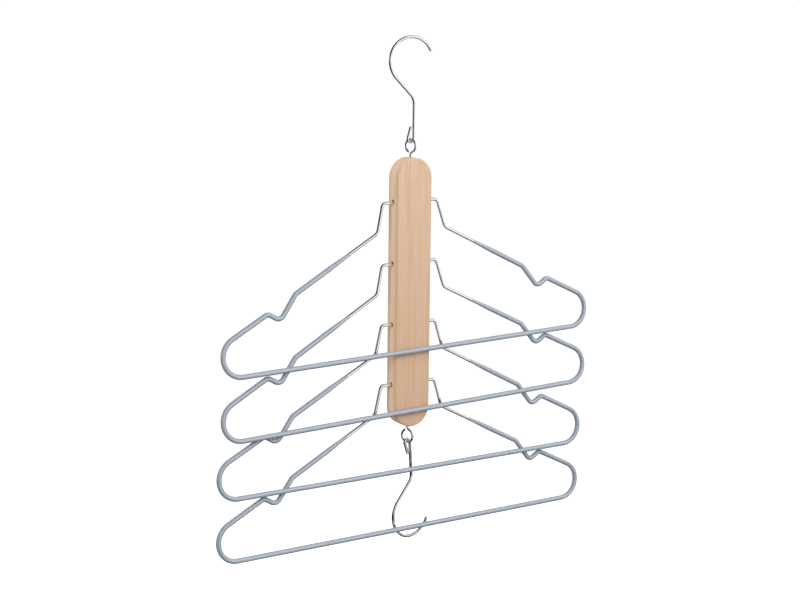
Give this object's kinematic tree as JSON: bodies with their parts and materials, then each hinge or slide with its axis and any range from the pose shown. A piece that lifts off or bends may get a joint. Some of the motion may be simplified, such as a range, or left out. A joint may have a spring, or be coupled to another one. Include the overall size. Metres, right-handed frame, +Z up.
{
  "type": "multi hanger",
  "caption": "Wooden bar with swinging coated-wire clothes hangers in a column, hung by a wire hook from a screw eye, with another hook linked below.",
  "frame": {"origin": "the point on the underside of the top hook's crown where a rail carries it, on the object's middle line", "axes": "+Z up, X along the hangers with +X to their right end, -Y to the front, where the hangers' bottom rails lean"},
  "size_m": [0.4327, 0.024, 0.5074],
  "materials": {
    "beech": "fine sanded, clear matt lacquer",
    "chrome_wire": "bright plated wire",
    "dipped_coat": "satin non-slip dip coat"
  },
  "bodies": {
    "hanging_hook": {"top_hook": "chrome_wire"},
    "bar": {"wooden_bar": "beech", "top_screw_eye": "chrome_wire", "lower_screw_eye": "chrome_wire"},
    "hanger_1": {"hanger_wire_1": "chrome_wire", "hanger_coat_1": "dipped_coat"},
    "hanger_2": {"hanger_wire_2": "chrome_wire", "hanger_coat_2": "dipped_coat"},
    "hanger_3": {"hanger_wire_3": "chrome_wire", "hanger_coat_3": "dipped_coat"},
    "hanger_4": {"hanger_wire_4": "chrome_wire", "hanger_coat_4": "dipped_coat"},
    "linked_hook": {"lower_hook": "chrome_wire"}
  },
  "joints": [
    {"name": "bar_swing", "type": "hinge", "parent": "hanging_hook", "child": "bar", "pos_m": [0, 0, -0.09805], "axis": [0, 1, 0], "range_deg": [-90, 90]},
    {"name": "lower_hook_swing", "type": "hinge", "parent": "bar", "child": "linked_hook", "pos_m": [0, 0, -0.40365], "axis": [0, 1, 0], "range_deg": [-45, 45]},
    {"name": "hanger_1_swing", "type": "hinge", "parent": "bar", "child": "hanger_1", "pos_m": [0, 0, -0.15935], "axis": [-1, 0, 0], "range_deg": [0, 165]},
    {"name": "hanger_2_swing", "type": "hinge", "parent": "bar", "child": "hanger_2", "pos_m": [0, 0, -0.22035], "axis": [-1, 0, 0], "range_deg": [0, 165]},
    {"name": "hanger_3_swing", "type": "hinge", "parent": "bar", "child": "hanger_3", "pos_m": [0, 0, -0.28135], "axis": [-1, 0, 0], "range_deg": [0, 165]},
    {"name": "hanger_4_swing", "type": "hinge", "parent": "bar", "child": "hanger_4", "pos_m": [0, 0, -0.34235], "axis": [-1, 0, 0], "range_deg": [0, 165]}
  ],
  "couplings": [
    {"joint": "hanger_2_swing", "follows": "hanger_1_swing", "ratio": 1},
    {"joint": "hanger_3_swing", "follows": "hanger_1_swing", "ratio": 1},
    {"joint": "hanger_4_swing", "follows": "hanger_1_swing", "ratio": 1}
  ]
}
